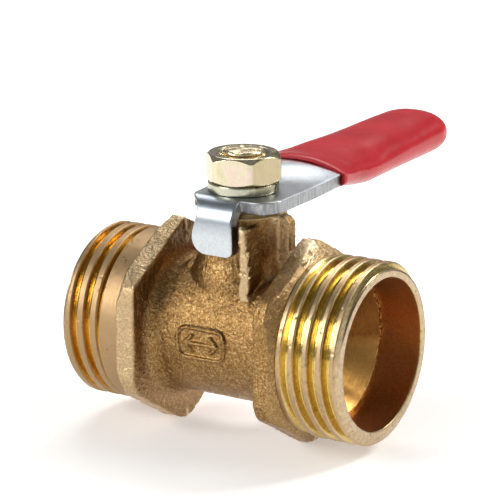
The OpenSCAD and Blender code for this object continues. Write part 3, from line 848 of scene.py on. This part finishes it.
class Nodes:
    """Small helpers that add shader nodes and give back their output sockets."""

    def __init__(self, nt, bsdf):
        self.nt, self.bsdf = nt, bsdf
        tc = nt.nodes.new("ShaderNodeTexCoord")
        self.coord = self.scaled(tc.outputs["Object"], (1000, 1000, 1000))

    def put(self, socket, value):
        if hasattr(value, "is_output"):
            self.nt.links.new(value, socket)
        elif isinstance(value, (tuple, list)) and len(value) == 3 and socket.type == "RGBA":
            socket.default_value = (*value, 1)
        else:
            socket.default_value = value

    def scaled(self, coord, factors):
        m = self.nt.nodes.new("ShaderNodeVectorMath")
        m.operation = "MULTIPLY"
        self.nt.links.new(coord, m.inputs[0])
        m.inputs[1].default_value = factors
        return m.outputs[0]

    def noise(self, scale, detail=3, rough=0.55, stretch=None, distort=0.0):
        n = self.nt.nodes.new("ShaderNodeTexNoise")
        self.nt.links.new(self.scaled(self.coord, stretch) if stretch else self.coord, n.inputs["Vector"])
        n.inputs["Scale"].default_value = scale
        n.inputs["Detail"].default_value = detail
        n.inputs["Roughness"].default_value = rough
        n.inputs["Distortion"].default_value = distort
        return n.outputs[0]

    def ramp(self, fac, *stops):
        n = self.nt.nodes.new("ShaderNodeValToRGB")
        self.put(n.inputs[0], fac)
        el = n.color_ramp.elements
        while len(el) < len(stops):
            el.new(0.5)
        for e, (pos, col) in zip(el, stops):
            e.position = pos
            e.color = (*col, 1)
        return n.outputs[0]

    def math(self, op, a, b=0.0):
        n = self.nt.nodes.new("ShaderNodeMath")
        n.operation = op
        self.put(n.inputs[0], a)
        self.put(n.inputs[1], b)
        return n.outputs[0]

    def mix(self, fac, a, b, blend="MIX"):
        n = self.nt.nodes.new("ShaderNodeMix")
        n.data_type, n.blend_type = "RGBA", blend
        self.put(n.inputs[0], fac)
        self.put(n.inputs[6], a)
        self.put(n.inputs[7], b)
        return n.outputs[2]

    def span(self, v, lo, hi, to_lo=0.0, to_hi=1.0):
        n = self.nt.nodes.new("ShaderNodeMapRange")
        self.put(n.inputs[0], v)
        for k, x in enumerate((lo, hi, to_lo, to_hi)):
            self.put(n.inputs[k + 1], x)
        return n.outputs[0]

    def attr(self, name):
        n = self.nt.nodes.new("ShaderNodeAttribute")
        n.attribute_name = name
        return n.outputs["Fac"]

    def xyz(self):
        n = self.nt.nodes.new("ShaderNodeSeparateXYZ")
        self.nt.links.new(self.coord, n.inputs[0])
        return n.outputs[0], n.outputs[1], n.outputs[2]

    def radius(self, a, b):
        squares = self.math("ADD", self.math("MULTIPLY", a, a), self.math("MULTIPLY", b, b))
        return self.math("SQRT", squares)

    def bump(self, height, strength=0.5, distance=0.02, normal=None):
        n = self.nt.nodes.new("ShaderNodeBump")
        n.inputs["Strength"].default_value = strength
        n.inputs["Distance"].default_value = distance * MM
        self.put(n.inputs["Height"], height)
        if normal is not None:
            self.nt.links.new(normal, n.inputs["Normal"])
        return n.outputs[0]

    def set(self, **kw):
        names = {"color": "Base Color", "metal": "Metallic", "rough": "Roughness", "normal": "Normal",
                 "ior": "IOR"}
        for k, v in kw.items():
            self.put(self.bsdf.inputs[names[k]], v)


def cast_brass():
    """Sand-cast brass: dark in its pits, pale with wear and with painted light on the hexagons' sides and the
    wing face, bright where cut.
    """
    m, n = material("cast_brass")
    fine = n.noise(4.4, 3, 0.6)
    broad = n.noise(0.16, 3, 0.5)
    base = n.ramp(fine, (0.30, (0.17, 0.078, 0.022)), (0.5, (0.355, 0.20, 0.066)), (0.72, (0.66, 0.48, 0.24)))
    base = n.mix(n.span(broad, 0.35, 0.7, 0.0, 0.35), base, (0.26, 0.14, 0.048))
    base = n.mix(n.math("MULTIPLY", n.attr("pit"), 0.5), base, (0.16, 0.08, 0.03))
    # the pale colour shows both real wear and painted light on the hexagons' sides and the wing face
    base = n.mix(n.attr("wear_and_painted_light"), base, (0.90, 0.73, 0.47))
    base = n.mix(n.attr("cut"), base, (0.84, 0.64, 0.34))
    n.set(color=base, metal=1.0, rough=n.span(n.attr("cut"), 0, 1, 0.31, 0.28))
    b1 = n.bump(n.noise(4.6, 2, 0.6), 1.0, 0.085)
    b2 = n.bump(n.noise(9.0, 2, 0.6), 1.0, 0.04, b1)
    n.set(normal=b2)
    return m


def turned_ends():
    """The threaded ends: gold roots, pale crests (darkened on the left end as painted shade), ringed faces and
    dull mouths.
    """
    m, n = material("turned_ends")
    x, y, z = n.xyz()
    crest, root, mouth, face = (n.attr(k) for k in ("crest", "root", "mouth", "face"))
    fine = n.noise(2.2, 4, 0.6)
    streak = n.noise(1.0, 4, 0.65, stretch=(9.0, 0.6, 0.6))
    gold = n.ramp(fine, (0.3, (0.60, 0.43, 0.13)), (0.7, (0.72, 0.56, 0.21)))
    deep = n.ramp(fine, (0.3, (0.62, 0.39, 0.11)), (0.7, (0.74, 0.50, 0.17)))
    gold = n.mix(n.span(x, -1, 1), deep, gold)
    pale = n.ramp(fine, (0.3, (0.50, 0.36, 0.20)), (0.7, (0.68, 0.53, 0.32)))
    # painted shade: crests on the left end (negative x) are darkened to hold down their highlight
    pale = n.mix(n.span(x, 1, -1, 0.0, 0.85), pale, (0.38, 0.26, 0.13))
    line = n.math("MULTIPLY", crest, n.span(root, 0.02, 0.12, 0.55, 0.0))
    pale = n.mix(line, pale, (0.42, 0.27, 0.14))
    base = n.mix(crest, gold, pale)
    base = n.mix(face, base, n.ramp(fine, (0.3, (0.44, 0.32, 0.19)), (0.7, (0.64, 0.50, 0.32))))
    spots = n.ramp(n.noise(1.3, 5, 0.7), (0.60, (1, 1, 1)), (0.72, (0.45, 0.36, 0.26)))
    base = n.mix(1.0, base, spots, "MULTIPLY")
    dull = n.ramp(n.noise(4.5, 3, 0.7), (0.35, (0.46, 0.215, 0.075)), (0.60, (0.58, 0.29, 0.105)),
                  (0.80, (0.90, 0.60, 0.32)))
    base = n.mix(mouth, base, dull)
    rough = n.span(streak, 0.3, 0.7, 0.13, 0.26)
    rough = n.math("ADD", rough, n.math("MULTIPLY", crest, n.span(x, -1, 1, 0.30, 0.18)))
    rough = n.math("ADD", rough, n.math("MULTIPLY", face, 0.14))
    rough = n.math("ADD", rough, n.math("MULTIPLY", mouth, 0.22))
    n.set(color=base, metal=1.0, rough=rough)
    r = n.radius(y, z)
    rings = n.math("MULTIPLY", n.math("SINE", n.math("MULTIPLY", r, 46.0)), face)
    b1 = n.bump(streak, 0.35, 0.03)
    b2 = n.bump(rings, 0.25, 0.012, b1)
    b3 = n.bump(n.noise(6.0, 3, 0.6), 0.25, 0.02, b2)
    n.set(normal=b3)
    return m


def bushing_brass():
    """The bushing with its funnel: painted shade above, painted light and fine rings below, painted glints on
    its rim.
    """
    m, n = material("turned_brass")
    _, y, z = n.xyz()
    r = n.radius(y, z)
    fine = n.noise(3.0, 4, 0.6)
    # painted shade: this dark colour stays on the upper part
    base = n.ramp(fine, (0.3, (0.13, 0.045, 0.009)), (0.7, (0.18, 0.072, 0.016)))
    bright = n.ramp(fine, (0.3, (0.72, 0.36, 0.09)), (0.7, (0.84, 0.48, 0.14)))
    # painted light: the part below z = -0.5 mm turns bright, fully bright below -4 mm
    base = n.mix(n.span(z, -0.5, -4.0), base, bright)
    # painted glint: pale spots in a broken line round the rim
    glint = n.math("MULTIPLY", n.span(r, 8.25, 8.4), n.span(n.noise(2.4, 2, 0.6), 0.45, 0.6))
    base = n.mix(glint, base, (0.95, 0.72, 0.34))
    n.set(color=base, metal=1.0, rough=n.span(n.noise(1.2, 3, 0.6), 0.3, 0.7, 0.32, 0.44))
    rings = n.math("SINE", n.math("MULTIPLY", r, 34.0))
    b1 = n.bump(rings, 0.12, 0.006)
    n.set(normal=n.bump(n.noise(5.0, 3, 0.6), 0.3, 0.02, b1))
    return m


def stem_brass():
    m, n = material("stem_brass")
    fine = n.noise(3.0, 5, 0.65)
    base = n.ramp(fine, (0.32, (0.50, 0.37, 0.20)), (0.5, (0.80, 0.66, 0.42)), (0.7, (0.93, 0.84, 0.66)))
    n.set(color=base, metal=1.0, rough=n.span(n.noise(2.5, 3, 0.6), 0.3, 0.7, 0.22, 0.42))
    n.set(normal=n.bump(n.noise(2.8, 4, 0.65), 0.5, 0.06))
    return m


def zinc():
    """Zinc-plated sheet: painted shade greys the bend, with shear marks along its cut sides."""
    m, n = material("zinc_sheet")
    fine = n.noise(3.2, 4, 0.65)
    base = n.ramp(fine, (0.33, (0.52, 0.56, 0.59)), (0.5, (0.58, 0.62, 0.65)), (0.66, (0.63, 0.67, 0.70)))
    dark = n.ramp(n.noise(4.6, 2, 0.5), (0.70, (1, 1, 1)), (0.80, (0.6, 0.6, 0.61)))
    base = n.mix(1.0, base, dark, "MULTIPLY")
    cut = n.attr("sheared")
    _, y, z = n.xyz()
    # painted shade: the bend of the tab is greyed
    painted_bend_shade = n.math("MULTIPLY", n.span(z, PLATE_TOP - 4.2, PLATE_TOP - 2.2), n.span(y, -3.4, -4.8, 0.0, 0.72))
    base = n.mix(painted_bend_shade, base, (0.24, 0.275, 0.31))
    stri = n.noise(1.0, 3, 0.6, stretch=(2.0, 5.0, 0.7))
    shear = n.ramp(stri, (0.35, (0.20, 0.21, 0.22)), (0.65, (0.42, 0.42, 0.43)))
    base = n.mix(n.math("MULTIPLY", cut, 0.85), base, shear)
    n.set(color=base, metal=1.0, rough=n.span(n.noise(1.4, 3, 0.6), 0.3, 0.7, 0.30, 0.38))
    b1 = n.bump(fine, 0.15, 0.015)
    n.set(normal=n.bump(n.math("MULTIPLY", stri, cut), 0.7, 0.08, b1))
    return m


def chromate(name, tint, deep):
    m, n = material(name)
    hue = n.noise(0.42, 2, 0.5, distort=0.6)
    base = n.ramp(hue, (0.30, tint[0]), (0.48, tint[1]), (0.62, tint[2]), (0.75, tint[1]))
    fine = n.noise(4.0, 3, 0.6)
    base = n.mix(n.span(fine, 0.45, 0.75, 0.0, 0.22), base, deep)
    # painted shade: right of x = 3.1 mm (the nut's right facet, the washer's right side) all takes the deep
    # colour
    x = n.xyz()[0]
    base = n.mix(n.span(x, 3.1, 3.3, 0.0, 1.0), base, deep)
    n.set(color=base, metal=1.0, rough=n.span(n.noise(1.3, 3, 0.6), 0.3, 0.7, 0.18, 0.30))
    n.set(normal=n.bump(n.noise(3.0, 4, 0.6), 0.2, 0.02))
    return m


def vinyl():
    """Dipped red vinyl, glossy and a little uneven."""
    m, n = material("red_vinyl")
    broad = n.noise(0.22, 3, 0.5)
    base = n.ramp(broad, (0.35, (0.50, 0.010, 0.018)), (0.65, (0.60, 0.018, 0.027)))
    n.set(color=base, metal=0.0, rough=n.span(n.noise(0.9, 3, 0.5), 0.3, 0.7, 0.28, 0.38), ior=1.50)
    n.bsdf.inputs["Coat Weight"].default_value = 0.08
    n.bsdf.inputs["Coat Roughness"].default_value = 0.12
    n.bsdf.inputs["Specular IOR Level"].default_value = 0.30
    b1 = n.bump(n.noise(0.7, 3, 0.5), 0.25, 0.10)
    n.set(normal=n.bump(n.noise(4.0, 2, 0.5), 0.06, 0.005, b1))
    return m


def plain(name, lo, hi, scale, rough, metal=0.0):
    """A quiet material for the pieces that sit inside."""
    m, n = material(name)
    base = n.ramp(n.noise(scale, 4, 0.6), (0.3, lo), (0.7, hi))
    uneven = n.span(n.noise(scale * 2, 2, 0.5), 0.3, 0.7, rough - 0.05, rough + 0.05)
    n.set(color=base, metal=metal, rough=uneven)
    n.set(normal=n.bump(n.noise(scale * 2, 3, 0.6), 0.2, 0.02))
    return m


# ---------------------------------------------------------------- assembly
def assemble():
    nut_tints = ((0.72, 0.64, 0.42), (0.74, 0.68, 0.48), (0.78, 0.64, 0.54))
    washer_tints = ((0.52, 0.51, 0.36), (0.58, 0.57, 0.43), (0.50, 0.51, 0.41))
    mats = {
        "cast": cast_brass(),
        "ends": turned_ends(),
        "bushing": bushing_brass(),
        "stem": stem_brass(),
        "zinc": zinc(),
        # the last colour is both a random deep tone and the painted shade on the right side
        "nut": chromate("plated_nut", nut_tints, (0.50, 0.42, 0.26)),
        "washer": chromate("plated_washer", washer_tints, (0.32, 0.30, 0.20)),
        "vinyl": vinyl(),
        "ptfe": plain("ptfe", (0.82, 0.82, 0.79), (0.90, 0.90, 0.87), 1.5, 0.45),
        "chrome": plain("chromed_ball", (0.74, 0.75, 0.77), (0.82, 0.83, 0.85), 1.2, 0.10, 1.0),
        "rubber": plain("seal_rubber", (0.015, 0.015, 0.016), (0.035, 0.035, 0.036), 2.0, 0.55),
    }
    cast, right, left = build_body()
    cast.data.materials.append(mats["cast"])
    for o in (right, left):
        o.data.materials.append(mats["ends"])
    body = join("body_casting", [cast, right, left])
    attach(body, "body")
    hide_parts("valve_body")
    for build, key, body_name, node, slot in (
        (build_retainer, "bushing", "body", "retainer", "turned_brass"),
        (build_plate, "zinc", "lever", "lever_plate", "zinc_sheet"),
        (build_sleeve, "vinyl", "lever", "grip_sleeve", "red_vinyl"),
        (build_nut, "nut", "lever", "nut", "plated_fastener"),
        (build_washer, "washer", "lever", "spring_washer", "plated_fastener"),
        (build_stem, "stem", "lever", "stem", "turned_brass"),
    ):
        piece = build()
        piece.data.materials.clear()
        piece.data.materials.append(mats[key])
        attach(piece, body_name)
        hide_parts(node)
    for node, key in (("left_seat", "ptfe"), ("right_seat", "ptfe"), ("thrust_washer", "ptfe"),
                      ("ball", "chrome"), ("lower_o_ring", "rubber"), ("upper_o_ring", "rubber")):
        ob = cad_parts[node]
        if ob.material_slots:
            for s in ob.material_slots:
                s.material = mats[key]
        else:
            ob.data.materials.append(mats[key])


assemble()


# ---------------------------------------------------------------- stage, light and camera
def build_stage():
    """A pale floor under the lowest point, lit from itself a little so that it stays near white."""
    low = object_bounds()[0][2]
    me = bpy.data.meshes.new("floor")
    reach = 1.5
    corners = [(-reach, -reach, low), (reach, -reach, low), (reach, reach, low), (-reach, reach, low)]
    me.from_pydata(corners, [], [(0, 1, 2, 3)])
    floor = bpy.data.objects.new("floor", me)
    bpy.context.scene.collection.objects.link(floor)
    m, n = material("floor_paper")
    n.set(color=(0.96, 0.94, 0.915), metal=0.0, rough=0.75)
    n.bsdf.inputs["Emission Color"].default_value = (1.0, 0.985, 0.975, 1)
    n.bsdf.inputs["Emission Strength"].default_value = 0.365
    me.materials.append(m)


# name, azimuth and elevation in degrees, distance and size in metres, radiance
LIGHTS = (
    ("key", -36, 27, 0.55, (0.28, 0.26), 7.8),
    ("top", -150, 50, 0.60, (0.36, 0.22), 4.4),
    ("rear", 140, 38, 0.60, (0.15, 0.15), 25.0),
    ("strip", 100, 38, 0.50, (0.12, 0.18), 2.4),
    ("left", -122, 57, 0.55, (0.18, 0.18), 1.6),
)


def softbox(name, azimuth, elevation, distance, size, radiance):
    """A soft rectangle of light that looks at the valve; azimuth 0 is the front and 90 the right."""
    d = bpy.data.lights.new(name, "AREA")
    d.shape = "RECTANGLE"
    d.size, d.size_y = size
    d.energy = radiance * math.pi * size[0] * size[1]
    o = bpy.data.objects.new(name, d)
    bpy.context.scene.collection.objects.link(o)
    az, el = math.radians(azimuth), math.radians(elevation)
    target = Vector((0, 0, 0.004))
    way = Vector((math.sin(az) * math.cos(el), -math.cos(az) * math.cos(el), math.sin(el)))
    o.location = target + way * distance
    o.rotation_mode = "QUATERNION"
    o.rotation_quaternion = (-way).to_track_quat("-Z", "Y")


def build_light():
    world = bpy.data.worlds.new("studio")
    bpy.context.scene.world = world
    world.use_nodes = True
    nt = world.node_tree
    nt.nodes.clear()
    out = nt.nodes.new("ShaderNodeOutputWorld")
    bg = nt.nodes.new("ShaderNodeBackground")
    nt.links.new(bg.outputs[0], out.inputs[0])
    bg.inputs[0].default_value = (1, 1, 1, 1)
    bg.inputs[1].default_value = 0.18
    for light in LIGHTS:
        softbox(*light)


def build_camera():
    """The camera, 32 degrees to the right of the front and 15 above. The lens is in mm."""
    cam = bpy.data.objects.new("camera", bpy.data.cameras.new("camera"))
    bpy.context.scene.collection.objects.link(cam)
    az, el = math.radians(32.22), math.radians(15.36)
    right = Vector((math.cos(az), math.sin(az), 0))
    back = Vector((math.sin(az) * math.cos(el), -math.cos(az) * math.cos(el), math.sin(el)))
    up = back.cross(right)
    cam.location = Vector((0.1793, -0.2831, 0.1015))
    rot = Matrix((right, up, back)).transposed()
    cam.rotation_mode = "QUATERNION"
    cam.rotation_quaternion = rot.to_quaternion()
    cam.data.sensor_width = 36
    cam.data.lens = 219.0722
    cam.data.clip_start, cam.data.clip_end = 0.01, 10
    bpy.context.scene.camera = cam


build_stage()
build_light()
build_camera()
bpy.context.scene.view_settings.view_transform = "Standard"
